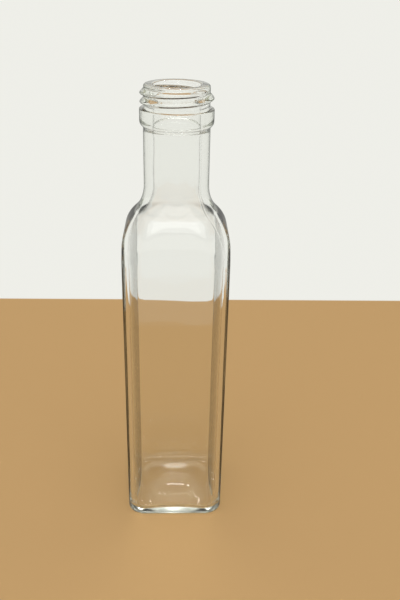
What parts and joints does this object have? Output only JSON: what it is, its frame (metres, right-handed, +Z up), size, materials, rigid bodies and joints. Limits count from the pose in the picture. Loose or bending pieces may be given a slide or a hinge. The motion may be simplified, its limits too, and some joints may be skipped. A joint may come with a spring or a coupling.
{
  "type": "square glass liquor bottle",
  "caption": "Clear glass square-section liquor bottle with rounded corners, round neck, collar and open screw-thread mouth.",
  "frame": {"origin": "middle of the foot, on the surface that the bottle stands on", "axes": "+Z up along the neck to the open mouth, +X and +Y square to the flat sides, front face towards -Y"},
  "size_m": [0.047, 0.047, 0.2095],
  "materials": {
    "clear_glass": "fire-polished clear flint glass, faint grey-green where it is thick"
  },
  "bodies": {
    "root": {"glass_bottle": "clear_glass"}
  },
  "joints": []
}
